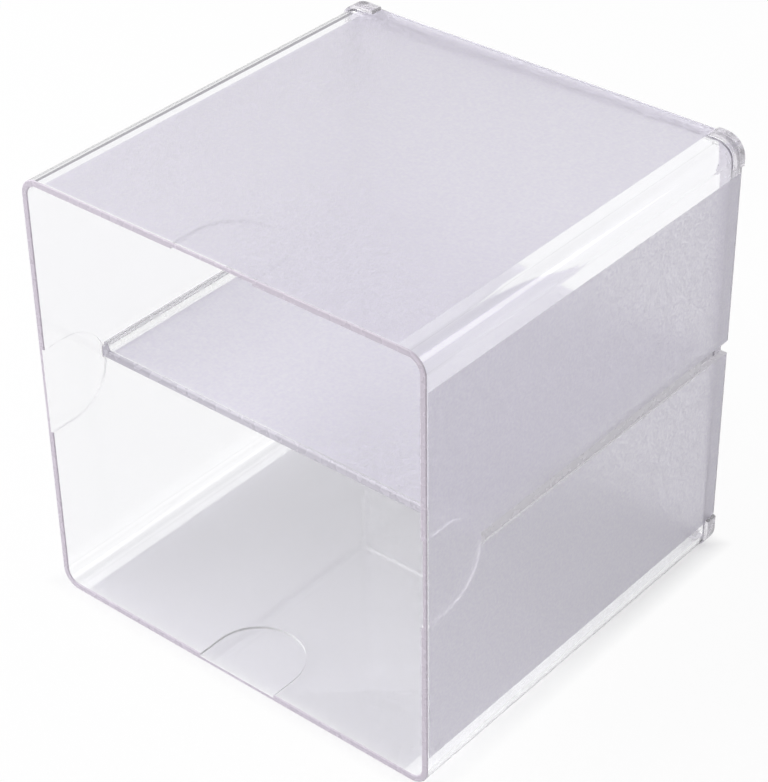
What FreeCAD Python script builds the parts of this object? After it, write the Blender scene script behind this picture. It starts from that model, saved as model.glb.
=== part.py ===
import FreeCAD, Part
import os
import Sketcher

# Desktop organizer cube in clear moulded polystyrene, made of three mouldings:
#   sleeve      the four walls, one square tube that is open at the front
#   shelf       the plate that splits the cube into two compartments
#   back_panel  the plate that closes the rear
#
# Frame: millimetres, +Z up, open front towards -Y. The origin lies under the middle of the cube,
# on the surface that it stands on.
#
# Every piece is drawn in one cube frame: X across, Y from the front face to the rear, and Z up
# from the middle of the cube's height. That keeps the walls symmetrical about the origin planes.

DIMENSIONS = [
    ("cube_width", 152.4, "outside, left wall to right wall"),
    ("cube_height", 152.4, "outside, underside to top"),
    ("cube_depth", 149.5, "front rim to rear face"),
    ("wall", 2.2, "thickness of the four walls"),
    ("corner_radius", 6.3, "outside rounding of the long edges"),
    ("rim_rounding", 0.4, "rounding of the front rim's two edges"),
    ("recess_width", 31.0, "finger recess, across"),
    ("recess_length", 25.0, "finger recess, front rim to the end of its round"),
    ("recess_sink", 0.9, "finger recess, depth into the inside of the wall"),
    ("shelf_level", 76.2, "underside of the shelf above the table"),
    ("shelf_thickness", 3.1, "plate of the shelf"),
    ("shelf_setback", 24.5, "front rim to the shelf's front edge"),
    ("shelf_rounding", 0.8, "rounding of the shelf's front edge"),
    ("curb_height", 3.0, "raised side curb above the shelf's plate"),
    ("curb_thickness", 1.6, "raised side curb, across"),
    ("slot_height", 4.5, "side slot in the wall"),
    ("tongue_sink", 0.7, "tongue's face inside the wall's outside face"),
    ("tongue_stop", 14.0, "rear face to the tongue's rear end"),
    ("panel_depth", 4.7, "back panel's rim, front to rear"),
    ("panel_plate", 2.0, "plate of the back panel"),
    ("panel_rim", 1.6, "thickness of the back panel's rim"),
    ("lug_depth", 4.7, "corner lug, front to rear"),
    ("lug_rise", 1.0, "corner lug's outside face above the wall's"),
    ("long_leg", 12.3, "legs of two corner lugs, from the cube's corner"),
    ("short_leg", 9.2, "legs of the other two corner lugs"),
    ("lug_taper", 0.5, "slope at the end of a lug's leg"),
    ("lug_rounding", 0.4, "rounding of a lug's outside edge at the rear"),
    ("rebate", 0.5, "depth of the sleeve's seat under a lug"),
    ("lug_web", 1.8, "web that joins a lug to the panel's rim"),
    ("fit_gap", 0.12, "clearance between pieces that slide together"),
]

# Lines that more than one piece follows, as expressions on the sheet.
OUTSIDE_X = "size.cube_width / 2"
OUTSIDE_Z = "size.cube_height / 2"
INSIDE_X = "(size.cube_width / 2 - size.wall)"
INSIDE_Z = "(size.cube_height / 2 - size.wall)"
INSIDE_RADIUS = "(size.corner_radius - size.wall)"
FITTED_X = "(size.cube_width / 2 - size.wall - size.fit_gap)"
FITTED_Z = "(size.cube_height / 2 - size.wall - size.fit_gap)"
FITTED_RADIUS = "(size.corner_radius - size.wall - size.fit_gap)"
SHELF_Z = "(size.shelf_level - size.cube_height / 2)"
PANEL_Y = "(size.cube_depth - size.panel_depth)"
LUG_SEAT = "(size.rebate - size.fit_gap)"
CLEAR = "size.wall"
SQUARE = None

START = 1
END = 2


def new_document():
    """Makes the document and the sheet that holds the driving dimensions."""
    doc = FreeCAD.newDocument("organizer_cube")
    sheet = doc.addObject("Spreadsheet::Sheet", "size")
    for row, (alias, value, note) in enumerate(DIMENSIONS, start=1):
        sheet.set(f"A{row}", alias)
        sheet.set(f"B{row}", str(value))
        sheet.set(f"C{row}", note)
        sheet.setAlias(f"B{row}", alias)
    doc.recompute()
    return doc


def new_body(doc, label):
    """A body in the cube frame, placed so that the cube stands on the ground."""
    body = doc.addObject("PartDesign::Body", label)
    body.Label = label
    body.setExpression("Placement.Base.y", "-size.cube_depth / 2")
    body.setExpression("Placement.Base.z", "size.cube_height / 2")
    return body


def origin_plane(body, role):
    return next(plane for plane in body.Origin.OriginFeatures if plane.Role == role)


def new_sketch(body, name, role, offset):
    """A sketch parallel to an origin plane, moved by offset along the plane's normal."""
    sketch = body.newObject("Sketcher::SketchObject", name)
    sketch.AttachmentSupport = [(origin_plane(body, role), "")]
    sketch.MapMode = "FlatFace"
    sketch.setExpression("AttachmentOffset.Base.z", offset)
    return sketch


def section_sketch(body, name, y):
    """A sketch across the cube at depth y. The plane's own normal points to the front."""
    return new_sketch(body, name, "XZ_Plane", f"-({y})")


def measure(sketch, expression):
    """Present value of an expression, which places new geometry."""
    value = sketch.evalExpression(expression)
    return float(getattr(value, "Value", value))


def drive(sketch, kind, *where):
    """Adds a dimension whose value the expression at the end of where drives."""
    *geometry, expression = where
    value = measure(sketch, expression)
    index = sketch.addConstraint(Sketcher.Constraint(kind, *geometry, value))
    sketch.setExpression(f"Constraints[{index}]", expression)


def along(sketch, corner, neighbour):
    """The point where a corner's rounding begins, on its edge to a neighbouring corner."""
    x, z, radius = corner
    if radius is SQUARE:
        return (x, z)
    run = measure(sketch, neighbour[0]) - measure(sketch, x)
    rise = measure(sketch, neighbour[1]) - measure(sketch, z)
    if abs(run) > abs(rise):
        return (f"{x} {'+' if run > 0 else '-'} {radius}", z)
    return (x, f"{z} {'+' if rise > 0 else '-'} {radius}")


def outline(sketch, corners):
    """Draws a closed outline through corners given as (x, y, rounding) expressions.

    A rounded corner stands between two edges that run along the sketch's axes. Each point is
    held by its distances from the origin, and each arc by its ends and its radius.
    """
    pieces = []
    for index, corner in enumerate(corners):
        after = corners[(index + 1) % len(corners)]
        if corner[2] is not SQUARE:
            begin = along(sketch, corner, corners[index - 1])
            pieces.append((begin, along(sketch, corner, after), corner))
        pieces.append((along(sketch, corner, after), along(sketch, after, corner), None))

    drawn = []
    for start, end, corner in pieces:
        first = FreeCAD.Vector(*(measure(sketch, value) for value in start))
        last = FreeCAD.Vector(*(measure(sketch, value) for value in end))
        if first.distanceToPoint(last) < 1e-6:
            continue
        if corner is None:
            geometry = sketch.addGeometry(Part.LineSegment(first, last), False)
        else:
            sharp = FreeCAD.Vector(*(measure(sketch, value) for value in corner[:2]))
            centre = first + last - sharp
            middle = centre + (sharp - centre).normalize() * measure(sketch, corner[2])
            geometry = sketch.addGeometry(Part.Arc(first, middle, last), False)
            drive(sketch, "Radius", geometry, corner[2])
        forward = sketch.getPoint(geometry, START).distanceToPoint(first) < 1e-6
        drawn.append((geometry, start, START if forward else END, END if forward else START))

    for index, (geometry, start, begins, _) in enumerate(drawn):
        before, _, _, ends = drawn[index - 1]
        sketch.addConstraint(Sketcher.Constraint("Coincident", before, ends, geometry, begins))
        drive(sketch, "DistanceX", -1, START, geometry, begins, start[0])
        drive(sketch, "DistanceY", -1, START, geometry, begins, start[1])


def rectangle(sketch, left, right, low, high, radius=SQUARE):
    corners = [(left, low), (right, low), (right, high), (left, high)]
    outline(sketch, [(x, z, radius) for x, z in corners])


def extrude(body, kind, name, sketch, length, backwards=False):
    """A Pad along the sketch's normal, or a Pocket against it, unless backwards."""
    feature = body.newObject(f"PartDesign::{kind}", name)
    feature.Profile = sketch
    feature.setExpression("Length", length)
    feature.Reversed = backwards
    body.Document.recompute()
    return feature


def mirror(body, name, feature, role):
    mirrored = body.newObject("PartDesign::Mirrored", name)
    mirrored.Originals = [feature]
    mirrored.MirrorPlane = (origin_plane(body, role), [""])
    body.Tip = mirrored
    body.Document.recompute()
    return mirrored


def fillet(body, name, radius, chosen):
    """Rounds the edges of the present shape for which chosen says yes."""
    base = body.Tip
    edges = [f"Edge{n}" for n, edge in enumerate(base.Shape.Edges, start=1) if chosen(edge)]
    feature = body.newObject("PartDesign::Fillet", name)
    feature.Base = (base, edges)
    feature.setExpression("Radius", radius)
    body.Document.recompute()
    return feature


def corner_band(sketch, lug, outer, inner, ends, tapers=("0", "0")):
    """An L-shaped band round the corner of a lug.

    outer and inner are its corners as (x, z, rounding), written for the cube's upper right one.
    The legs end at ends, and tapers make their outside faces shorter.
    """
    corners = [
        (ends[0], inner[1], SQUARE),
        (f"{ends[0]} + {tapers[0]}", outer[1], SQUARE),
        outer,
        (outer[0], f"{ends[1]} + {tapers[1]}", SQUARE),
        (inner[0], ends[1], SQUARE),
        inner,
    ]
    placed = [(f"{lug.side} * ({x})", f"{lug.level} * ({z})", radius) for x, z, radius in corners]
    outline(sketch, placed)


class Lug:
    """The size and place of one corner's lug, as expressions on the sheet.

    side is -1 on the left and 1 on the right, and level is -1 at the foot and 1 at the top.
    """

    def __init__(self, name, side, level, leg):
        self.name = name
        self.side = side
        self.level = level
        self.top = OUTSIDE_Z
        self.ends = (f"{OUTSIDE_X} - size.corner_radius", f"{OUTSIDE_Z} - {leg}")
        self.tapers = ("0", "size.lug_taper")
        if level == 1:
            self.top = f"{OUTSIDE_Z} + size.lug_rise"
            self.ends = (f"{OUTSIDE_X} - {leg}", f"{OUTSIDE_Z} - {leg}")
            self.tapers = ("size.lug_taper", "size.lug_taper")


# The lugs of one diagonal have longer legs. A lug at the foot lies flush with the underside, so
# that the cube stands flat, and has no lower leg.
LUGS = [
    Lug("top_left", -1, 1, "size.long_leg"),
    Lug("top_right", 1, 1, "size.short_leg"),
    Lug("foot_left", -1, -1, "size.short_leg"),
    Lug("foot_right", 1, -1, "size.long_leg"),
]


def make_sleeve(doc):
    """Four walls with finger recesses, shelf slots and seats for the back panel's lugs."""
    body = new_body(doc, "sleeve")

    section = section_sketch(body, "wall_section", "0")
    rectangle(section, f"-{OUTSIDE_X}", OUTSIDE_X, f"-{OUTSIDE_Z}", OUTSIDE_Z, "size.corner_radius")
    rectangle(section, f"-{INSIDE_X}", INSIDE_X, f"-{INSIDE_Z}", INSIDE_Z, INSIDE_RADIUS)
    extrude(body, "Pad", "walls", section, "size.cube_depth", backwards=True)
    fillet(body, "rim_round", "size.rim_rounding", lambda edge: edge.BoundBox.YMax < 1e-6)

    half = "size.recess_width / 2"
    for name, role, wall, mirror_role in (
        ("level_recess", "XY_Plane", INSIDE_Z, "XY_Plane"),
        ("side_recess", "YZ_Plane", INSIDE_X, "YZ_Plane"),
    ):
        sketch = new_sketch(body, f"{name}_outline", role, wall)
        open_end = f"-{CLEAR}"
        round_end = "size.recess_length"
        if role == "XY_Plane":
            corners = [(f"-{half}", open_end, SQUARE), (half, open_end, SQUARE)]
            corners += [(half, round_end, half), (f"-{half}", round_end, half)]
        else:
            corners = [(open_end, f"-{half}", SQUARE), (round_end, f"-{half}", half)]
            corners += [(round_end, half, half), (open_end, half, SQUARE)]
        outline(sketch, corners)
        recess = extrude(body, "Pocket", name, sketch, "size.recess_sink", backwards=True)
        mirror(body, f"{name}_pair", recess, mirror_role)

    sketch = new_sketch(body, "slot_outline", "YZ_Plane", INSIDE_X)
    rectangle(
        sketch,
        "size.shelf_setback - size.fit_gap",
        f"size.cube_depth + {CLEAR}",
        SHELF_Z,
        f"{SHELF_Z} + size.slot_height",
    )
    slot = extrude(body, "Pocket", "slot", sketch, "size.wall", backwards=True)
    mirror(body, "slot_pair", slot, "YZ_Plane")

    beyond = (f"{OUTSIDE_X} + {CLEAR}", f"{OUTSIDE_Z} + {CLEAR}", SQUARE)
    inside = (f"{INSIDE_X} - {CLEAR}", f"{INSIDE_Z} - {CLEAR}", SQUARE)
    seat = (
        f"{OUTSIDE_X} - size.rebate",
        f"{OUTSIDE_Z} - size.rebate",
        "(size.corner_radius - size.rebate)",
    )
    for lug in LUGS:
        ends = [f"{end} - size.fit_gap" for end in lug.ends]
        for part, inner, length in (
            ("rebate", seat, "size.lug_depth"),
            ("notch", inside, "size.lug_web"),
        ):
            sketch = section_sketch(body, f"{lug.name}_{part}_outline", "size.cube_depth")
            corner_band(sketch, lug, beyond, inner, ends)
            depth = f"{length} + size.fit_gap"
            extrude(body, "Pocket", f"{lug.name}_{part}", sketch, depth, backwards=True)
    return body


def make_shelf(doc):
    """The plate between the compartments, with a curb and a tongue along each side."""
    body = new_body(doc, "shelf")
    rear = f"({PANEL_Y} - size.fit_gap)"
    length = f"{rear} - size.shelf_setback"

    sketch = new_sketch(body, "plate_outline", "XY_Plane", SHELF_Z)
    rectangle(sketch, f"-{FITTED_X}", FITTED_X, "size.shelf_setback", rear)
    extrude(body, "Pad", "plate", sketch, "size.shelf_thickness")

    sketch = section_sketch(body, "curb_section", "size.shelf_setback")
    top = f"{SHELF_Z} + size.shelf_thickness + size.curb_height"
    rectangle(sketch, f"{FITTED_X} - size.curb_thickness", FITTED_X, SHELF_Z, top)
    curb = extrude(body, "Pad", "curb", sketch, length, backwards=True)
    mirror(body, "curb_pair", curb, "YZ_Plane")

    sketch = section_sketch(body, "tongue_section", "size.shelf_setback")
    inner = f"{FITTED_X} - size.curb_thickness / 2"
    outer = f"{OUTSIDE_X} - size.tongue_sink"
    rectangle(sketch, inner, outer, SHELF_Z, f"{SHELF_Z} + size.slot_height - size.fit_gap")
    length = "size.cube_depth - size.tongue_stop - size.shelf_setback"
    tongue = extrude(body, "Pad", "tongue", sketch, length, backwards=True)
    mirror(body, "tongue_pair", tongue, "YZ_Plane")

    front = measure(sketch, "size.shelf_setback")
    half_width = measure(sketch, OUTSIDE_X)

    def across_the_front(edge):
        box = edge.BoundBox
        return box.YMax < front + 1e-6 and box.XLength > half_width

    fillet(body, "front_round", "size.shelf_rounding", across_the_front)
    return body


def make_back_panel(doc):
    """The rear plate, set in a rim, with a lug at each corner that grips the sleeve."""
    body = new_body(doc, "back_panel")

    sketch = section_sketch(body, "plate_outline", PANEL_Y)
    rectangle(sketch, f"-{FITTED_X}", FITTED_X, f"-{FITTED_Z}", FITTED_Z, FITTED_RADIUS)
    extrude(body, "Pad", "plate", sketch, "size.panel_plate", backwards=True)

    sketch = section_sketch(body, "rim_section", PANEL_Y)
    rectangle(sketch, f"-{FITTED_X}", FITTED_X, f"-{FITTED_Z}", FITTED_Z, FITTED_RADIUS)
    hollow_x = f"({FITTED_X} - size.panel_rim)"
    hollow_z = f"({FITTED_Z} - size.panel_rim)"
    hollow_radius = f"({FITTED_RADIUS} - size.panel_rim)"
    rectangle(sketch, f"-{hollow_x}", hollow_x, f"-{hollow_z}", hollow_z, hollow_radius)
    extrude(body, "Pad", "rim", sketch, "size.panel_depth", backwards=True)

    root = (
        f"{FITTED_X} - size.panel_rim / 2",
        f"{FITTED_Z} - size.panel_rim / 2",
        f"({FITTED_RADIUS} - size.panel_rim / 2)",
    )
    seat = (
        f"{OUTSIDE_X} - {LUG_SEAT}",
        f"{OUTSIDE_Z} - {LUG_SEAT}",
        f"(size.corner_radius - {LUG_SEAT})",
    )
    for lug in LUGS:
        face = (f"{OUTSIDE_X} + size.lug_rise", lug.top, "(size.corner_radius + size.lug_rise)")
        for part, inner, length in (
            ("web", root, "size.lug_web"),
            ("lug", seat, "size.lug_depth"),
        ):
            sketch = section_sketch(body, f"{lug.name}_{part}_section", "size.cube_depth")
            corner_band(sketch, lug, face, inner, lug.ends, lug.tapers)
            extrude(body, "Pad", f"{lug.name}_{part}", sketch, length)

    rear = measure(sketch, "size.cube_depth")
    half_width = measure(sketch, OUTSIDE_X)
    half_height = measure(sketch, OUTSIDE_Z)

    def outside_at_the_rear(edge):
        box = edge.BoundBox
        reach_x = max(abs(box.XMin), abs(box.XMax))
        proud = reach_x > half_width + 1e-6 or box.ZMax > half_height + 1e-6
        sloped = edge.Curve.TypeId == "Part::GeomLine" and min(box.XLength, box.ZLength) > 1e-6
        return box.YMin > rear - 1e-6 and proud and not sloped

    fillet(body, "lug_round", "size.lug_rounding", outside_at_the_rear)
    return body


def check(doc, bodies):
    """Stops the build if any object failed or any piece isn't one valid solid."""
    doc.recompute()
    for item in doc.Objects:
        if "Invalid" in item.State or "Error" in item.State:
            raise RuntimeError(f"{item.Name} failed: {item.State}")
    for body in bodies:
        shape = body.Shape
        if shape.isNull() or not shape.isValid() or len(shape.Solids) != 1:
            raise RuntimeError(f"{body.Label} isn't one valid solid")
        print(f"{body.Label}: {shape.Volume / 1000:.2f} cm3")


def export(bodies):
    os.makedirs("parts", exist_ok=True)
    for body in bodies:
        body.Shape.exportStep(f"parts/{body.Label}.step")


doc = new_document()
bodies = [make_sleeve(doc), make_shelf(doc), make_back_panel(doc)]
check(doc, bodies)
export(bodies)
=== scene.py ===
import math

import bpy
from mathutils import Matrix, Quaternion, Vector


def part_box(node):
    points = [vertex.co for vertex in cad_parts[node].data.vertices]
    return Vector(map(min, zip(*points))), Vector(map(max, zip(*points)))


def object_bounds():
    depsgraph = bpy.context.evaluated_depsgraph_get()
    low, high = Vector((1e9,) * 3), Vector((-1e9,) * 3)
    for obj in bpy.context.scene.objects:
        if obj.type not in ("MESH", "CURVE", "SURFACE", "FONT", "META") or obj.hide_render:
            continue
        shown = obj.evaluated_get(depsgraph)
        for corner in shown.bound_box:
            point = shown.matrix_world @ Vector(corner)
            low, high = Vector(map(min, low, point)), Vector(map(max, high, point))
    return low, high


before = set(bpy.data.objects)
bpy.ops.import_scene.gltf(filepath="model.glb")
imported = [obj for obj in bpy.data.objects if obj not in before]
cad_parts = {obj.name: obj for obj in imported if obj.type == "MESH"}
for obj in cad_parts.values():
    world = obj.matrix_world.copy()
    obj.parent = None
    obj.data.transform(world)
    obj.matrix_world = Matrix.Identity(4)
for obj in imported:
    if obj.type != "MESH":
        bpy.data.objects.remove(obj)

CAD_LOW, CAD_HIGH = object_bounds()


# The sleeve. The four walls of the cube are one square tube of clear polystyrene, moulded in one
# shot. The mould's core is polished, so the inside is glossy. Its outer plates are blasted, which
# frosts each wall but for a clear border along both long edges.
MM = 0.001
LEVEL_BORDER = 9.8 * MM
SIDE_BORDER = 11.5 * MM
RIM_BORDER = 0.9 * MM
REAR_BORDER = 0.3 * MM
SKIN = 1.0 * MM

# Clear polystyrene bends light more than glass does, so its edges and its round corners carry
# bright and grey lines. Where the mould is blasted, the surface blurs what is behind it, takes a
# grey-violet haze from the light on it and sparkles finely.
POLYSTYRENE_IOR = 1.59
CLEAR = "#FDFDFE"
FROSTED = "#ECE8F5"
POLISHED_ROUGHNESS = 0.03
ROUGHNESS_BEHIND = 0.15
SMOOTHEST_FROST = 0.32
ROUGHEST_FROST = 0.50
FROST_HAZE = 0.42
FROST_HAZE_SPREAD = 0.40
FROST_EDGE = 0.08 * MM
# A blasted mould leaves pits of about 0.1 mm. They are drawn at 0.95 mm, or they wouldn't show.
GRAIN = 0.95 * MM
GRAIN_HEIGHT = 0.05 * MM
GRAIN_RELIEF = 0.8
# Nearly all of a noise texture lies between these two values.
NOISE_LOW = 0.3
NOISE_HIGH = 0.7
# What a frosted face leaves of a lamp's light, on its way to what lies in the shade behind it.
FROST_SHADOW = "#A0A0A1"


def linear(code):
    """A Cycles colour from an sRGB hex code."""
    channels = [int(code[i : i + 2], 16) / 255 for i in (1, 3, 5)]
    return [c / 12.92 if c <= 0.04045 else ((c + 0.055) / 1.055) ** 2.4 for c in channels] + [1.0]


def add(tree, kind, settings=None, **sockets):
    """Adds a shader node and gives its first output, if it has one.

    A socket takes a number, a colour or another node's output. i0 is the first input, and so on.
    """
    node = tree.nodes.new(f"ShaderNode{kind}")
    for name, value in (settings or {}).items():
        setattr(node, name, value)
    for name, value in sockets.items():
        socket = node.inputs[int(name[1:]) if name[1:].isdigit() else name.replace("_", " ")]
        if isinstance(value, bpy.types.NodeSocket):
            tree.links.new(value, socket)
        else:
            socket.default_value = value
    shown = [output for output in node.outputs if output.enabled]
    return shown[0] if shown else node


def inside_box(tree, place, low, high, edge=FROST_EDGE):
    """1 for a place inside the box between two corners and 0 outside, with a narrow soft edge."""
    offset = add(tree, "VectorMath", {"operation": "SUBTRACT"}, i0=place, i1=(low + high) / 2)
    reach = add(tree, "VectorMath", {"operation": "ABSOLUTE"}, i0=offset)
    depth = add(tree, "VectorMath", {"operation": "SUBTRACT"}, i0=(high - low) / 2, i1=reach)
    axes = add(tree, "SeparateXYZ", Vector=depth).node.outputs
    least = add(tree, "Math", {"operation": "MINIMUM"}, i0=axes["X"], i1=axes["Y"])
    least = add(tree, "Math", {"operation": "MINIMUM"}, i0=least, i1=axes["Z"])
    return add(tree, "MapRange", Value=least, From_Min=-edge, From_Max=edge)


def plastic_output(tree, body, shadow):
    """Ends a clear material. Lamps shine through it in its shadow's colour."""
    passed = add(tree, "BsdfTransparent", Color=shadow)
    lamp = add(tree, "LightPath").node.outputs["Is Shadow Ray"]
    surface = add(tree, "MixShader", i0=lamp, i1=body, i2=passed)
    add(tree, "OutputMaterial", Surface=surface)


def frosted_polystyrene(name, boxes):
    """Clear polished polystyrene, frosted on the faces that lie in the boxes."""
    material = bpy.data.materials.new(name)
    material.use_nodes = True
    tree = material.node_tree
    tree.nodes.clear()
    place = add(tree, "TexCoord").node.outputs["Object"]
    frost = 0.0
    for low, high in boxes:
        box = inside_box(tree, place, low, high)
        frost = add(tree, "Math", {"operation": "MAXIMUM"}, i0=frost, i1=box)
    grain = add(tree, "TexNoise", Vector=place, Scale=1 / GRAIN, Detail=2.0, Roughness=0.6)
    rough = add(
        tree,
        "MapRange",
        Value=grain,
        From_Min=NOISE_LOW,
        From_Max=NOISE_HIGH,
        To_Min=SMOOTHEST_FROST,
        To_Max=ROUGHEST_FROST,
    )
    behind = add(tree, "NewGeometry").node.outputs["Backfacing"]
    rough = add(tree, "Mix", {"data_type": "FLOAT"}, i0=behind, i2=rough, i3=ROUGHNESS_BEHIND)
    rough = add(tree, "Mix", {"data_type": "FLOAT"}, i0=frost, i2=POLISHED_ROUGHNESS, i3=rough)
    # Only the outside of a frosted face is hazy. From behind, it passes all of its light.
    haze = add(
        tree,
        "MapRange",
        Value=grain,
        From_Min=NOISE_LOW,
        From_Max=NOISE_HIGH,
        To_Min=FROST_HAZE - FROST_HAZE_SPREAD,
        To_Max=FROST_HAZE + FROST_HAZE_SPREAD,
    )
    shown = add(tree, "Math", {"operation": "SUBTRACT", "use_clamp": True}, i0=frost, i1=behind)
    haze = add(tree, "Math", {"operation": "MULTIPLY"}, i0=shown, i1=haze)
    passed = add(tree, "Math", {"operation": "SUBTRACT"}, i0=1.0, i1=haze)
    colour = add(tree, "Mix", {"data_type": "RGBA"}, i0=shown, i6=linear(CLEAR), i7=linear(FROSTED))
    strength = add(tree, "Math", {"operation": "MULTIPLY"}, i0=frost, i1=GRAIN_RELIEF)
    bump = add(tree, "Bump", Strength=strength, Distance=GRAIN_HEIGHT, Height=grain)
    body = add(
        tree,
        "BsdfPrincipled",
        Base_Color=colour,
        Roughness=rough,
        IOR=POLYSTYRENE_IOR,
        Transmission_Weight=passed,
        Normal=bump,
    )
    shadow = add(tree, "Mix", {"data_type": "RGBA"}, i0=frost, i6=linear(CLEAR), i7=linear(FROST_SHADOW))
    plastic_output(tree, body, shadow)
    return material


low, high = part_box("sleeve")
front = low.y + RIM_BORDER
rear = high.y - REAR_BORDER
level_walls = [
    (Vector((low.x + LEVEL_BORDER, front, z - SKIN)), Vector((high.x - LEVEL_BORDER, rear, z + SKIN)))
    for z in (low.z, high.z)
]
side_walls = [
    (Vector((x - SKIN, front, low.z + SIDE_BORDER)), Vector((x + SKIN, rear, high.z - SIDE_BORDER)))
    for x in (low.x, high.x)
]
walls = level_walls + side_walls
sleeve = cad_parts["sleeve"]
sleeve.material_slots[0].material = frosted_polystyrene("frosted_polystyrene_sleeve", walls)


# The sleeve's cut edges. The front rim, the steps round the finger recesses and the faces of the
# two shelf slots come from parts of the mould that were cut and stoned but not polished. They are
# satin. The steps and the slot floors are painted near white, a painted highlight for the pale lines
# that the light running inside the walls makes there.
WALL = 2.2 * MM
RIM_ROUNDING = 0.4 * MM
RECESS_LENGTH = 25.0 * MM
RECESS_FLOOR = 1.3 * MM
SLOT_FRONT = -50.4 * MM
SLOT_LOW = 76.2 * MM
SLOT_HIGH = 80.7 * MM
NEAR = 0.1 * MM
SATIN_SHADOW = "#D4D4D5"
RIM_SATIN = "#D5CCD9"
# The steps' near white is a painted highlight, standing in for the pale line that light makes along them.
STEP_PAINTED_HIGHLIGHT = "#FDFCFE"
# Stoning by hand leaves a face a little glossier in some places, about 4 mm apart.
STONED = 4.0 * MM
SMOOTHEST_SATIN = 0.24
ROUGHEST_SATIN = 0.30


def satin_polystyrene(name, code, haze, within=False):
    """Polystyrene with a satin all over, from a mould that was stoned but not polished.

    The satin shows from outside, and also from within the plastic where within is true.
    """
    material = bpy.data.materials.new(name)
    material.use_nodes = True
    tree = material.node_tree
    tree.nodes.clear()
    place = add(tree, "TexCoord").node.outputs["Object"]
    stoned = add(tree, "TexNoise", Vector=place, Scale=1 / STONED, Detail=2.0, Roughness=0.5)
    rough = add(
        tree,
        "MapRange",
        Value=stoned,
        From_Min=NOISE_LOW,
        From_Max=NOISE_HIGH,
        To_Min=SMOOTHEST_SATIN,
        To_Max=ROUGHEST_SATIN,
    )
    colour = linear(code)
    passed = 1 - haze
    if not within:
        behind = add(tree, "NewGeometry").node.outputs["Backfacing"]
        colour = add(tree, "Mix", {"data_type": "RGBA"}, i0=behind, i6=colour, i7=linear(CLEAR))
        passed = add(tree, "MapRange", Value=behind, To_Min=passed, To_Max=1.0)
    body = add(
        tree,
        "BsdfPrincipled",
        Base_Color=colour,
        Roughness=rough,
        IOR=POLYSTYRENE_IOR,
        Transmission_Weight=passed,
    )
    plastic_output(tree, body, linear(SATIN_SHADOW))
    return material


rim = satin_polystyrene("satin_polystyrene_rim", RIM_SATIN, haze=0.93)
step = satin_polystyrene("satin_polystyrene_step_painted_highlight", STEP_PAINTED_HIGHLIGHT, haze=0.95, within=True)
sleeve.data.materials.append(rim)
sleeve.data.materials.append(step)
RIM_SLOT = 1
STEP_SLOT = 2
for face in sleeve.data.polygons:
    at = face.center
    depth = min(at.x - low.x, high.x - at.x, at.z - low.z, high.z - at.z)
    from_rim = at.y - low.y
    cut = NEAR < depth < WALL - NEAR
    slotted = cut and at.y > SLOT_FRONT - NEAR
    if from_rim < RIM_ROUNDING + NEAR or (cut and at.y > high.y - NEAR):
        face.material_index = RIM_SLOT
    elif cut and from_rim < RECESS_LENGTH + MM and depth > RECESS_FLOOR + NEAR:
        face.material_index = STEP_SLOT
    # The slot floors take the steps' painted highlight, a bright line along each slot.
    elif slotted and abs(at.z - SLOT_LOW) < NEAR:
        face.material_index = STEP_SLOT
    elif slotted and SLOT_LOW < at.z < SLOT_HIGH + NEAR:
        face.material_index = RIM_SLOT


# The shelf. One clear polystyrene plate, moulded flat and pushed in from the rear. Its top is
# blasted between the two low curbs. Its front edge and the tongues that slide in the sleeve's slots
# are satin, so the tongues show as a pale grey band in each side wall. The front edge is a darker
# grey, which is partly painted shade.
CURB_BORDER = 4.5 * MM
EDGE_BORDER = 1.2 * MM
EDGE_ROUNDING = 0.8 * MM
TONGUE_REACH = 3.0 * MM
# The front edge's darker grey is partly satin and partly painted shade.
EDGE_SATIN_AND_PAINTED_SHADE = "#D3CFDA"
TONGUE_SATIN = "#F4F1F8"
UPRIGHT = 0.9

low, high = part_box("shelf")
plate = (
    Vector((low.x + CURB_BORDER, low.y + EDGE_BORDER, low.z + SKIN)),
    Vector((high.x - CURB_BORDER, high.y, high.z)),
)
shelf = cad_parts["shelf"]
shelf.material_slots[0].material = frosted_polystyrene("frosted_polystyrene_shelf", [plate])
tongue = satin_polystyrene("satin_polystyrene_tongue", TONGUE_SATIN, haze=0.9)
shelf_edge = satin_polystyrene("satin_polystyrene_shelf_edge_painted_shade", EDGE_SATIN_AND_PAINTED_SHADE, haze=0.9)
shelf.data.materials.append(tongue)
shelf.data.materials.append(shelf_edge)
TONGUE_SLOT = 1
EDGE_SLOT = 2
for face in shelf.data.polygons:
    at = face.center
    upright = max(abs(face.normal.x), abs(face.normal.y)) > UPRIGHT
    if at.y - low.y < EDGE_ROUNDING + NEAR:
        face.material_index = EDGE_SLOT
    elif upright and high.x - abs(at.x) < TONGUE_REACH:
        face.material_index = TONGUE_SLOT


# The back panel. A clear polystyrene plate with a rim all round, pushed into the rear of the
# sleeve. The plate is blasted on the outside. The rim is satin, and it is the grey band that shows
# through the sleeve's rear edge. Its grey is partly painted shade, for the shade inside the sleeve's rear.
PANEL_WINDOW = 68.0 * MM
RIM_INSIDE = 72.2 * MM
# The rim's grey is partly satin and partly painted shade.
PANEL_SATIN_AND_PAINTED_SHADE = "#D8D3DF"

low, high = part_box("back_panel")
foot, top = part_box("sleeve")
middle = (foot.z + top.z) / 2
window = (
    Vector((-PANEL_WINDOW, low.y + SKIN, middle - PANEL_WINDOW)),
    Vector((PANEL_WINDOW, high.y, middle + PANEL_WINDOW)),
)
back_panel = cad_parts["back_panel"]
back_panel.material_slots[0].material = frosted_polystyrene("frosted_polystyrene_panel", [window])
panel_rim = satin_polystyrene("satin_polystyrene_panel_rim_painted_shade", PANEL_SATIN_AND_PAINTED_SHADE, haze=0.6)
back_panel.data.materials.append(panel_rim)


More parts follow.
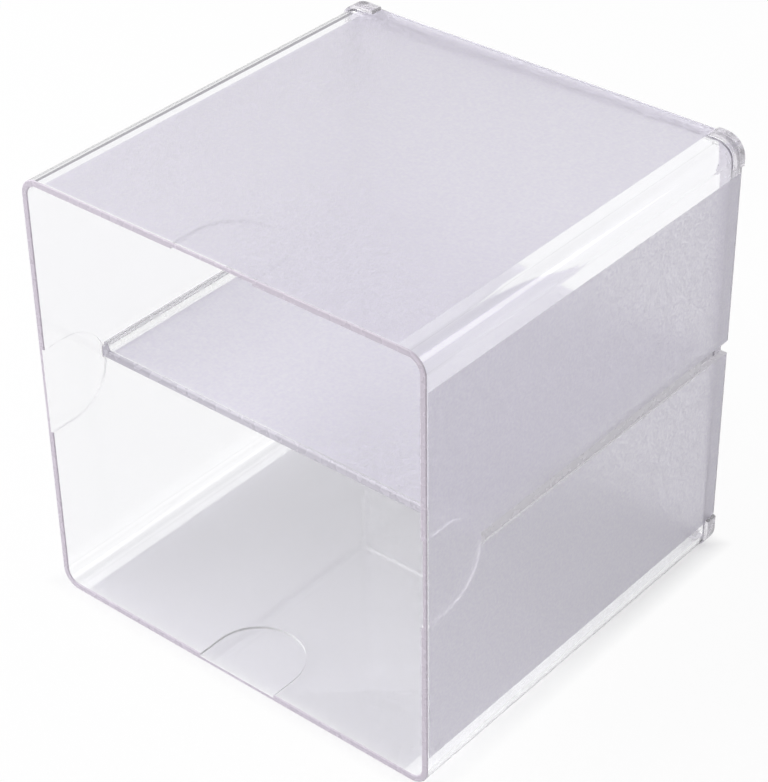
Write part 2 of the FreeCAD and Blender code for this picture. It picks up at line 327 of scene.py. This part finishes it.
# The corner lugs. They are one piece with the back panel and grip the sleeve's corners from
# outside. They are polished, but dulled a little by handling, so they look glassy with grey outlines.
LUG_SEAT = 75.6 * MM
LUG_SATIN = "#F2EEF5"

lug = satin_polystyrene("handled_polystyrene_lug", LUG_SATIN, haze=0.28)
back_panel.data.materials.append(lug)
PANEL_RIM_SLOT = 1
LUG_SLOT = 2
for face in back_panel.data.polygons:
    at = face.center
    reach = max(abs(at.x), abs(at.z - middle))
    if reach > LUG_SEAT:
        face.material_index = LUG_SLOT
    elif reach > RIM_INSIDE:
        face.material_index = PANEL_RIM_SLOT


# The sweep. Matt white paper under and round the cube. It is white to the eye and takes the soft
# shadow of the cube. Beneath the cube its glow is painted down, a painted shade, so that it is dimmer
# there and the shadow of the frosted walls shows.
SWEEP_RADIUS = 3.0
SWEEP_CORNERS = 96
SWEEP_DROP = 0.02 * MM
SWEEP_PAPER = "#F4F4F5"
SWEEP_GLOW = 0.94
SHADED_GLOW = 0.32
SHADE_EDGE = 5.0 * MM
WHITE = "#FFFFFF"


def eye_sees(tree):
    """1 for what the camera sees straight on, in a reflection, or through glass."""
    path = add(tree, "LightPath").node.outputs
    direct = add(tree, "Math", {"operation": "MAXIMUM"}, i0=path["Is Camera Ray"], i1=path["Is Glossy Ray"])
    return add(tree, "Math", {"operation": "MAXIMUM"}, i0=direct, i1=path["Is Transmission Ray"])


sweep_mesh = bpy.data.meshes.new("sweep")
turns = [2 * math.pi * i / SWEEP_CORNERS for i in range(SWEEP_CORNERS)]
ring = [(SWEEP_RADIUS * math.cos(a), SWEEP_RADIUS * math.sin(a), -SWEEP_DROP) for a in turns]
sweep_mesh.from_pydata(ring, [], [list(range(SWEEP_CORNERS))])
sweep = bpy.data.objects.new("sweep", sweep_mesh)
bpy.context.scene.collection.objects.link(sweep)

paper = bpy.data.materials.new("matt_paper_sweep")
paper.use_nodes = True
tree = paper.node_tree
tree.nodes.clear()
matt = add(tree, "BsdfDiffuse", Color=linear(SWEEP_PAPER))
glow = add(tree, "Emission", Color=linear(WHITE), Strength=1.0)
ground = add(tree, "TexCoord").node.outputs["Object"]
near_corner = Vector((CAD_LOW[0], CAD_LOW[1], -1.0))
far_corner = Vector((CAD_HIGH[0], CAD_HIGH[1], 1.0))
# Painted shade: the glow is turned down on a soft patch the size of the cube's footprint.
painted_shade_under_cube = inside_box(tree, ground, near_corner, far_corner, SHADE_EDGE)
glowing = add(tree, "MapRange", Value=painted_shade_under_cube, To_Min=SWEEP_GLOW, To_Max=SHADED_GLOW)
seen = add(tree, "Math", {"operation": "MULTIPLY"}, i0=eye_sees(tree), i1=glowing)
lit = add(tree, "MixShader", i0=seen, i1=matt, i2=glow)
under = add(tree, "BsdfTransparent")
side = add(tree, "NewGeometry").node.outputs["Backfacing"]
sheet = add(tree, "MixShader", i0=side, i1=lit, i2=under)
add(tree, "OutputMaterial", Surface=sheet)
sweep_mesh.materials.append(paper)


# The tent. White cloth on all sides that is greyer overhead, so that the top of the cube isn't
# washed out, with one grey card at the far left that draws the line along the top left edge.
TENT_OVERHEAD = "#77757F"
GREYS_FROM = 0.55
GREYEST_AT = 0.90
TENT_LIGHT = 0.36
CARD_AT = (-0.724, 0.652, 0.225)
CARD_ENDS = 0.968
CARD_FULL = 0.982
CARD_GREY = "#A09EA4"

tent = bpy.data.worlds.new("tent")
tent.use_nodes = True
tree = tent.node_tree
tree.nodes.clear()
aim = add(tree, "TexCoord")
height = add(tree, "SeparateXYZ", Vector=aim).node.outputs["Z"]
fade = add(
    tree,
    "MapRange",
    {"interpolation_type": "SMOOTHSTEP"},
    Value=height,
    From_Min=GREYS_FROM,
    From_Max=GREYEST_AT,
)
cloth = add(tree, "Mix", {"data_type": "RGBA"}, i0=fade, i6=linear(WHITE), i7=linear(TENT_OVERHEAD))
toward = add(tree, "VectorMath", {"operation": "DOT_PRODUCT"}, i0=aim, i1=CARD_AT).node.outputs["Value"]
card = add(
    tree,
    "MapRange",
    {"interpolation_type": "SMOOTHSTEP"},
    Value=toward,
    From_Min=CARD_ENDS,
    From_Max=CARD_FULL,
)
cloth = add(tree, "Mix", {"data_type": "RGBA"}, i0=card, i6=cloth, i7=linear(CARD_GREY))
path = add(tree, "LightPath").node.outputs["Is Camera Ray"]
wall = add(tree, "Mix", {"data_type": "RGBA"}, i0=path, i6=cloth, i7=linear(WHITE))
looked_at = add(tree, "Background", Color=wall, Strength=1.0)
lighting = add(tree, "Background", Color=linear(WHITE), Strength=TENT_LIGHT)
both = add(tree, "MixShader", i0=eye_sees(tree), i1=lighting, i2=looked_at)
add(tree, "OutputWorld", Surface=both)
bpy.context.scene.world = tent


# The lamps. A strong softbox at the left whitens the top and the left wall, and a weak one behind
# at the right leaves the right wall greyer.
LAMPS_AIM_AT = (0.0, 0.0, 0.08)


def softbox(name, at, width, height, watts):
    light = bpy.data.lights.new(name, "AREA")
    light.shape = "RECTANGLE"
    light.size = width
    light.size_y = height
    light.energy = watts
    lamp = bpy.data.objects.new(name, light)
    lamp.location = at
    lamp.rotation_mode = "QUATERNION"
    lamp.rotation_quaternion = (Vector(LAMPS_AIM_AT) - Vector(at)).to_track_quat("-Z", "Y")
    bpy.context.scene.collection.objects.link(lamp)


softbox("softbox_left", at=(-0.9, -0.5, 0.9), width=1.6, height=1.6, watts=21)
softbox("softbox_right", at=(0.7, 0.6, 1.0), width=0.5, height=0.9, watts=2)


# The camera. A long lens on a stand in front of the cube, to its right and above it. It is held
# level but for a slight turn.
CAMERA_AT = (0.4021, -0.47415, 0.4992)
LOOKS_AT = (0.0, -0.0021, 0.06975)
ROLL = math.radians(-0.87)
LENS = 111.13
camera = bpy.data.objects.new("camera", bpy.data.cameras.new("camera"))
camera.data.lens = LENS
camera.location = CAMERA_AT
camera.rotation_mode = "QUATERNION"
level = (Vector(LOOKS_AT) - Vector(CAMERA_AT)).to_track_quat("-Z", "Y")
camera.rotation_quaternion = level @ Quaternion((0, 0, 1), ROLL)
camera.data.clip_start = 0.01
bpy.context.scene.collection.objects.link(camera)
bpy.context.scene.camera = camera
bpy.context.scene.view_settings.view_transform = "Standard"
